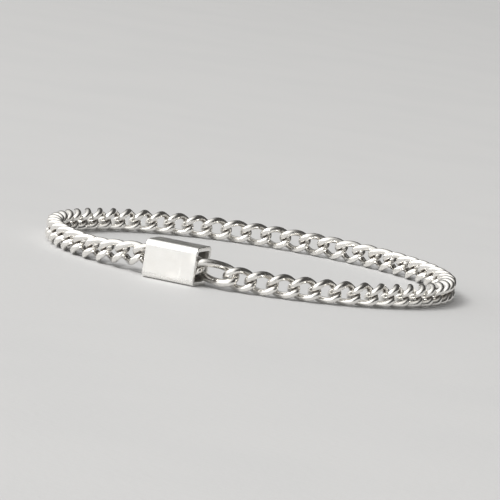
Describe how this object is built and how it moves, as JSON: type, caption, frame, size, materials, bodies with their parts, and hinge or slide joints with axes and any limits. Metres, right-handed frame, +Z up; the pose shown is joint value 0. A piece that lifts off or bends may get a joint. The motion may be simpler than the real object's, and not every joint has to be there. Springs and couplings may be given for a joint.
{
  "type": "chain finger ring",
  "caption": "Fine curb chain finger ring that runs through a small square tube bead, closed beside the bead by a larger oval ring.",
  "frame": {"origin": "on the table, under the middle of the ring, which lies on its side", "axes": "+Z up, along the finger's axis; the tube bead is at the front, towards -Y, and lies along X"},
  "size_m": [0.0188, 0.0192, 0.0017],
  "materials": {
    "chain_silver": "polished silver wire, a little tarnish where links meet",
    "bead_silver": "polished silver tube with fine scratches"
  },
  "bodies": {
    "root": {"curb_chain": "chain_silver", "closing_ring": "chain_silver", "tube_bead": "bead_silver"}
  },
  "joints": []
}
